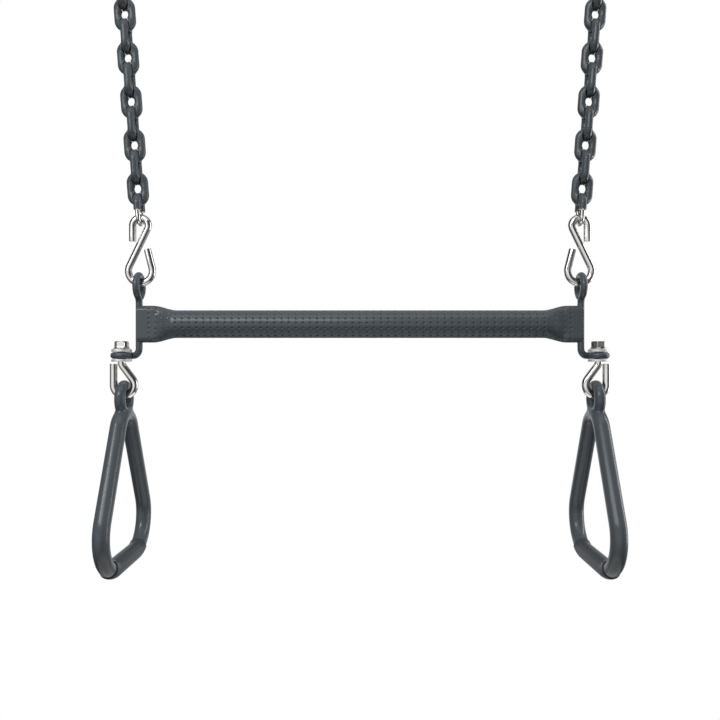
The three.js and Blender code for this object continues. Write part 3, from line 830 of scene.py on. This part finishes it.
class Nodes:
    """Short names for the node tree of one material."""

    def __init__(self, name):
        self.material = bpy.data.materials.new(name)
        self.material.use_nodes = True
        self.tree = self.material.node_tree
        self.tree.nodes.clear()
        self.output = self.add("ShaderNodeOutputMaterial")
        self.shader = self.add("ShaderNodeBsdfPrincipled")
        self.join(self.shader, "BSDF", self.output, "Surface")

    def add(self, kind, **settings):
        node = self.tree.nodes.new(kind)
        for key, value in settings.items():
            setattr(node, key, value)
        return node

    def join(self, source, out, target, socket):
        self.tree.links.new(source.outputs[out], target.inputs[socket])

    def noise(self, scale, detail, roughness=0.5, from_wire=False):
        """Noise in the object's metres, or in the millimetres of the wire attribute."""
        if from_wire:
            source, out = self.add("ShaderNodeAttribute", attribute_name="wire"), "Vector"
        else:
            source, out = self.add("ShaderNodeTexCoord"), "Object"
        mapping = self.add("ShaderNodeMapping")
        mapping.inputs["Scale"].default_value = scale
        self.join(source, out, mapping, "Vector")
        node = self.add("ShaderNodeTexNoise")
        node.inputs["Scale"].default_value = 1.0
        node.inputs["Detail"].default_value = detail
        node.inputs["Roughness"].default_value = roughness
        self.join(mapping, "Vector", node, "Vector")
        return node

    def roughness(self, source, low, high):
        node = self.add("ShaderNodeMapRange")
        node.inputs["From Min"].default_value = 0.25
        node.inputs["From Max"].default_value = 0.75
        node.inputs["To Min"].default_value = low
        node.inputs["To Max"].default_value = high
        self.join(source, "Fac", node, "Value")
        self.join(node, "Result", self.shader, "Roughness")

    def tint(self, source, first, second):
        node = self.add("ShaderNodeValToRGB")
        ends = node.color_ramp.elements
        ends[0].position, ends[1].position = 0.3, 0.7
        ends[0].color, ends[1].color = (*first, 1), (*second, 1)
        self.join(source, "Fac", node, "Fac")
        self.join(node, "Color", self.shader, "Base Color")

    def bump(self, sources, distance):
        previous = None
        for source, strength in sources:
            node = self.add("ShaderNodeBump")
            node.inputs["Strength"].default_value = strength
            node.inputs["Distance"].default_value = distance
            self.join(source, "Fac", node, "Height")
            if previous is not None:
                self.join(previous, "Normal", node, "Normal")
            previous = node
        self.join(previous, "Normal", self.shader, "Normal")


def coat_material(name, colours, roughness, peel, shine=0.4):
    nodes = Nodes(name)
    cloud = nodes.noise((45, 45, 45), detail=4)
    orange = nodes.noise((180, 180, 180), detail=1)
    specks = nodes.noise((1800, 1800, 1800), detail=1)
    nodes.tint(cloud, *colours)
    nodes.roughness(cloud, *roughness)
    nodes.bump([(orange, peel), (specks, peel * 0.35)], 0.0002)
    nodes.shader.inputs["Metallic"].default_value = 0.0
    nodes.shader.inputs["IOR"].default_value = 1.5
    nodes.shader.inputs["Specular IOR Level"].default_value = shine
    return nodes.material


def steel_material(name, colours, roughness, along_wire):
    nodes = Nodes(name)
    if along_wire:
        streaks = nodes.noise((1.6, 1.6, 0.05), 5, 0.62, from_wire=True)
        patches = nodes.noise((0.25, 0.25, 0.07), 3, from_wire=True)
    else:
        streaks = nodes.noise((0.9, 0.9, 3.0), 5, 0.6, from_wire=True)
        patches = nodes.noise((0.35, 0.35, 0.35), 3, from_wire=True)
    nodes.tint(patches, *colours)
    nodes.roughness(streaks, *roughness)
    nodes.bump([(streaks, 0.02), (patches, 0.02)], 0.0001)
    nodes.shader.inputs["Metallic"].default_value = 1.0
    return nodes.material


coat = coat_material("frame_coat", ((0.067, 0.081, 0.093), (0.073, 0.087, 0.099)),
                     roughness=(0.2, 0.25), peel=0.012)
chain_coat = coat_material("chain_coat", ((0.069, 0.083, 0.095), (0.076, 0.091, 0.103)),
                           roughness=(0.19, 0.24), peel=0.012)
grip_coat = coat_material("grip", ((0.043, 0.052, 0.059), (0.048, 0.057, 0.065)),
                          roughness=(0.28, 0.36), peel=0.05, shine=0.08)
steel = steel_material("bright_steel", ((0.76, 0.76, 0.75), (0.82, 0.82, 0.81)),
                       roughness=(0.06, 0.13), along_wire=True)
nut_steel = steel_material("nut_steel", ((0.74, 0.74, 0.72), (0.82, 0.82, 0.8)),
                           roughness=(0.08, 0.16), along_wire=False)
washer_steel = steel_material("washer_steel", ((0.8, 0.8, 0.78), (0.86, 0.86, 0.84)),
                              roughness=(0.6, 0.7), along_wire=False)


# Pieces

BODIES = {member: body for body, members in record["behaviour"]["bodies"].items()
          for member in members}

# Edges sharper than these angles in degrees stay sharp
WIRE_SHARP, NUT_SHARP, WASHER_SHARP = 50, 28, 40


def add_piece(name, shape, node, materials, sharp=None):
    mesh = bpy.data.meshes.new(name)
    mesh.from_pydata((shape.points * MM).tolist(), [], shape.faces)
    mesh.update()
    mesh.shade_smooth()
    if sharp is not None:
        mesh.set_sharp_from_angle(angle=math.radians(sharp))
    if shape.normals is not None:
        mesh.normals_split_custom_set_from_vertices(shape.normals.tolist())
    attribute = mesh.attributes.new("wire", "FLOAT_VECTOR", "POINT")
    attribute.data.foreach_set("vector", shape.wire.astype(np.float32).ravel())
    for material in materials:
        mesh.materials.append(material)
    obj = bpy.data.objects.new(name, mesh)
    bpy.context.scene.collection.objects.link(obj)
    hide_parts(node)
    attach(obj, BODIES[node])
    return obj


def paint_bare_half(obj, shape, end):
    """Gives the second material to the faces on the bare end of an unturned link."""
    heights = np.array([shape.points[list(face), 2].mean() for face in shape.faces])
    obj.data.polygons.foreach_set("material_index", (heights * end > BARE_FROM).astype(np.int32))


rod = hanger_rod()
hook = s_hook()
swivel = swivel_hook()
nut = flange_nut()
disc = washer()
handle = handle_frame()
grip = handle_grip()
link_face = chain_link(True)
link_edge = chain_link(False)
link_foot = chain_link(False, coated_foot=False)
link_top = chain_link(False, coated_top=False)

add_piece("bar", bar_tube().moved(z=BAR_Z), "bar_tube", [coat])

for side, side_name in ((-1, "left"), (1, "right")):
    def handed(shape):
        return shape if side > 0 else shape.mirrored()

    top_hook = handed(hook).turned("Y", math.pi).moved(side * TOP_HOOK_X, 0, TOP_HOOK_Z)
    add_piece("top_hook_" + side_name, top_hook, "top_s_hook_" + side_name, [steel], WIRE_SHARP)
    low_hook = handed(hook).moved(side * LOWER_HOOK_X, 0, LOWER_HOOK_Z)
    add_piece("low_hook_" + side_name, low_hook, "lower_s_hook_" + side_name, [steel], WIRE_SHARP)
    for number in range(1, LINK_COUNT + 1):
        run = LINK_LENGTH / 2 + (number - 1) * LINK_PITCH
        shape = link_face if number % 2 == 0 else link_edge
        materials = [chain_coat]
        bare_end = {1: -1, LINK_COUNT: 1}.get(number)
        if bare_end:
            shape = link_foot if bare_end < 0 else link_top
            materials = [chain_coat, steel]
        placed = shape.turned("Z", math.pi / 2) if number % 2 else shape
        placed = placed.turned("Y", side * CHAIN_SPLAY).moved(
            side * (LOWER_HOOK_X + run * math.sin(CHAIN_SPLAY)), 0,
            CHAIN_FOOT_Z + run * math.cos(CHAIN_SPLAY))
        obj = add_piece("link_%s_%02d" % (side_name, number), placed,
                        "chain_link_%s_%02d" % (side_name, number), materials, WIRE_SHARP)
        if bare_end:
            paint_bare_half(obj, shape, bare_end)
    add_piece("hanger_" + side_name, handed(rod).moved(z=BAR_Z), "hanger_rod_" + side_name,
              [coat], WIRE_SHARP)
    add_piece("swivel_" + side_name, handed(swivel).moved(side * SWIVEL_X),
              "swivel_hook_" + side_name, [steel], WIRE_SHARP)
    turned_nut = handed(nut.turned("Z", NUT_TURNS[side_name])).moved(side * SWIVEL_X, 0, NUT_Z)
    add_piece("nut_" + side_name, turned_nut, "flange_nut_" + side_name, [nut_steel], NUT_SHARP)
    add_piece("washer_up_" + side_name, disc.moved(side * SWIVEL_X, 0, UPPER_WASHER_Z),
              "upper_washer_" + side_name, [washer_steel], WASHER_SHARP)
    add_piece("washer_low_" + side_name, disc.moved(side * SWIVEL_X, 0, LOWER_WASHER_Z),
              "lower_washer_" + side_name, [washer_steel], WASHER_SHARP)
    add_piece("handle_" + side_name, handle.moved(side * HANDLE_X, 0, HANDLE_Z),
              "handle_frame_" + side_name, [coat])
    add_piece("grip_" + side_name, grip.moved(side * HANDLE_X, 0, HANDLE_Z),
              "handle_grip_" + side_name, [grip_coat])


# Floor, background and lamps, in metres and degrees

FLOOR_Z = -1.3
FLOOR_RADIUS = 0.92
FLOOR_SIDES = 96
FLOOR_RINGS = 6
FLOOR_FADE = (0.55, 0.97)  # shares of the radius
FLOOR_GREY = 0.2
FLOOR_WHITE = 0.9
AZIMUTH_LEVELS = [(-180, 1.0), (-148, 1.0), (-132, 0.15), (-80, 0.1), (-62, 0.5), (-50, 0.85),
                  (-40, 0.95), (4, 0.95), (16, 0.25), (25, 0.2), (32, 0.07), (52, 0.07),
                  (74, 0.4), (104, 0.6), (128, 0.5), (146, 1.0), (180, 1.0)]
HEIGHT_LEVELS = [(-1.0, 0.1), (-0.75, 0.12), (-0.3, 0.7), (-0.05, 1.0), (0.06, 1.0), (0.24, 0.42),
                 (0.7, 0.35), (1.0, 0.3)]
AMBIENT_LEVELS = [(-1.0, 0.02), (-0.4, 0.04), (0.0, 0.42), (0.4, 0.78), (1.0, 0.78)]
BAR_HEIGHT = BAR_Z * MM
MIRROR_RAYS = ("Is Glossy Ray", "Is Transmission Ray")


def new_node(tree, kind, *inputs, **settings):
    """A node with its first inputs linked, or set where they aren't sockets."""
    node = tree.nodes.new(kind)
    for key, value in settings.items():
        setattr(node, key, value)
    for source, target in zip(inputs, node.inputs):
        if isinstance(source, bpy.types.NodeSocket):
            tree.links.new(source, target)
        else:
            target.default_value = source
    return node


def grey(level):
    return (level, level, level, 1)


def ray_share(tree, kinds):
    """One where the ray is of any of the given kinds."""
    path = new_node(tree, "ShaderNodeLightPath")
    total = path.outputs[kinds[0]]
    for kind in kinds[1:]:
        total = new_node(tree, "ShaderNodeMath", total, path.outputs[kind],
                         operation="MAXIMUM").outputs[0]
    return total


def floor_material():
    """Pale to the camera and to mirrors, grey to the light that it sends back, and clear at the
    rim."""
    material = bpy.data.materials.new("floor")
    material.use_nodes = True
    tree = material.node_tree
    tree.nodes.clear()
    shade = new_node(tree, "ShaderNodeMix", data_type="RGBA")
    shade.inputs["A"].default_value = grey(FLOOR_GREY)
    shade.inputs["B"].default_value = grey(FLOOR_WHITE)
    tree.links.new(ray_share(tree, ("Is Camera Ray",) + MIRROR_RAYS), shade.inputs["Factor"])
    diffuse = new_node(tree, "ShaderNodeBsdfDiffuse", shade.outputs["Result"])
    clear = new_node(tree, "ShaderNodeBsdfTransparent")
    coordinates = new_node(tree, "ShaderNodeTexCoord")
    flat = new_node(tree, "ShaderNodeVectorMath", coordinates.outputs["Object"], (1, 1, 0),
                    operation="MULTIPLY")
    reach = new_node(tree, "ShaderNodeVectorMath", flat.outputs["Vector"], operation="LENGTH")
    fade = new_node(tree, "ShaderNodeMapRange", reach.outputs["Value"],
                    *[FLOOR_RADIUS * share for share in FLOOR_FADE],
                    interpolation_type="SMOOTHSTEP")
    choose = new_node(tree, "ShaderNodeMixShader", fade.outputs["Result"], diffuse.outputs[0],
                      clear.outputs[0])
    new_node(tree, "ShaderNodeOutputMaterial", choose.outputs[0])
    return material


def add_floor():
    """A pale round floor that keeps the shadow and fades out at its rim."""
    points, faces = [(0, 0, FLOOR_Z)], []
    for ring in range(1, FLOOR_RINGS + 1):
        radius = FLOOR_RADIUS * ring / FLOOR_RINGS
        for turn in circle_angles(FLOOR_SIDES):
            points.append((radius * math.cos(turn), radius * math.sin(turn), FLOOR_Z))
    for i in range(FLOOR_SIDES):
        faces.append((0, 1 + i, 1 + (i + 1) % FLOOR_SIDES))
    for ring in range(FLOOR_RINGS - 1):
        inner = 1 + ring * FLOOR_SIDES
        outer = inner + FLOOR_SIDES
        for i in range(FLOOR_SIDES):
            j = (i + 1) % FLOOR_SIDES
            faces.append((inner + i, outer + i, outer + j, inner + j))
    mesh = bpy.data.meshes.new("floor")
    mesh.from_pydata(points, [], faces)
    mesh.materials.append(floor_material())
    floor = bpy.data.objects.new("floor", mesh)
    bpy.context.scene.collection.objects.link(floor)


def ramp_node(tree, source, low, high, stops):
    """A colour ramp over a span of values, from pairs of value and grey level."""
    span = new_node(tree, "ShaderNodeMapRange", source, low, high)
    ramp = new_node(tree, "ShaderNodeValToRGB", span.outputs["Result"])
    ramp.color_ramp.interpolation = "EASE"
    elements = ramp.color_ramp.elements
    elements.remove(elements[-1])
    for i, (place, level) in enumerate(stops):
        share = (place - low) / (high - low)
        element = elements[0] if i == 0 else elements.new(share)
        element.position = share
        element.color = grey(level)
    return ramp.outputs["Color"]


def add_world():
    """White to the camera; a studio with a broad front window and dark flags to mirrors."""
    world = bpy.data.worlds.new("studio")
    world.use_nodes = True
    bpy.context.scene.world = world
    tree = world.node_tree
    tree.nodes.clear()
    coordinates = new_node(tree, "ShaderNodeTexCoord")
    split = new_node(tree, "ShaderNodeSeparateXYZ", coordinates.outputs["Generated"])
    front = new_node(tree, "ShaderNodeMath", split.outputs["Y"], -1.0, operation="MULTIPLY")
    azimuth = new_node(tree, "ShaderNodeMath", split.outputs["X"], front.outputs[0],
                       operation="ARCTAN2")
    round_level = ramp_node(tree, azimuth.outputs[0], -math.pi, math.pi, [
        (math.radians(angle), level) for angle, level in AZIMUTH_LEVELS])
    height_level = ramp_node(tree, split.outputs["Z"], -1, 1, HEIGHT_LEVELS)
    ambient_level = ramp_node(tree, split.outputs["Z"], -1, 1, AMBIENT_LEVELS)
    studio = new_node(tree, "ShaderNodeMix", data_type="RGBA", blend_type="MULTIPLY")
    studio.inputs["Factor"].default_value = 1.0
    tree.links.new(round_level, studio.inputs["A"])
    tree.links.new(height_level, studio.inputs["B"])
    mirrored, ambient, white = [new_node(tree, "ShaderNodeBackground", colour) for colour in (
        studio.outputs["Result"], ambient_level, grey(1))]
    unseen = new_node(tree, "ShaderNodeMixShader", ray_share(tree, MIRROR_RAYS),
                      ambient.outputs[0], mirrored.outputs[0])
    seen = new_node(tree, "ShaderNodeMixShader", ray_share(tree, ("Is Camera Ray",)),
                    unseen.outputs[0], white.outputs[0])
    new_node(tree, "ShaderNodeOutputWorld", seen.outputs[0])


def add_lamp(name, place, aim, width, height, power, mirrored=True):
    lamp = bpy.data.lights.new(name, "AREA")
    lamp.shape = "RECTANGLE"
    lamp.size = width
    lamp.size_y = height
    lamp.energy = power
    obj = bpy.data.objects.new(name, lamp)
    obj.location = place
    direction = Vector(aim) - Vector(place)
    obj.rotation_euler = direction.to_track_quat("-Z", "Y").to_euler()
    obj.visible_camera = False
    obj.visible_glossy = mirrored
    bpy.context.scene.collection.objects.link(obj)


add_floor()
add_world()
bar_middle = (0, 0, BAR_HEIGHT)
add_lamp("key", (-0.68, -1.5, BAR_HEIGHT + 1.1), bar_middle, 1.5, 0.6, 12.3)
add_lamp("left", (-0.5, -0.48, BAR_HEIGHT + 0.27), (0, 0, BAR_HEIGHT - 0.1), 0.1, 0.3, 0.5)
add_lamp("right", (1.3, 0.15, BAR_HEIGHT + 0.2), bar_middle, 0.26, 1.5, 7.0)
add_lamp("top", (0.0, -0.55, 1.0), bar_middle, 1.8, 0.8, 3.6)
add_lamp("back", (-0.3, 1.6, BAR_HEIGHT + 0.5), bar_middle, 1.4, 0.7, 4.5, mirrored=False)

# The photograph's camera, level, in front of the bar and a little below it

CAMERA_DISTANCE = 0.75
CAMERA_DROP = 0.0369
CAMERA_LENS = 36.4  # millimetres
CAMERA_SENSOR = 36.0

camera_data = bpy.data.cameras.new("camera")
camera_data.lens = CAMERA_LENS
camera_data.sensor_width = CAMERA_SENSOR
camera = bpy.data.objects.new("camera", camera_data)
camera.location = (0, -CAMERA_DISTANCE, BAR_HEIGHT - CAMERA_DROP)
camera.rotation_euler = (math.pi / 2, 0, 0)
bpy.context.scene.collection.objects.link(camera)
bpy.context.scene.camera = camera
bpy.context.scene.view_settings.view_transform = "Standard"
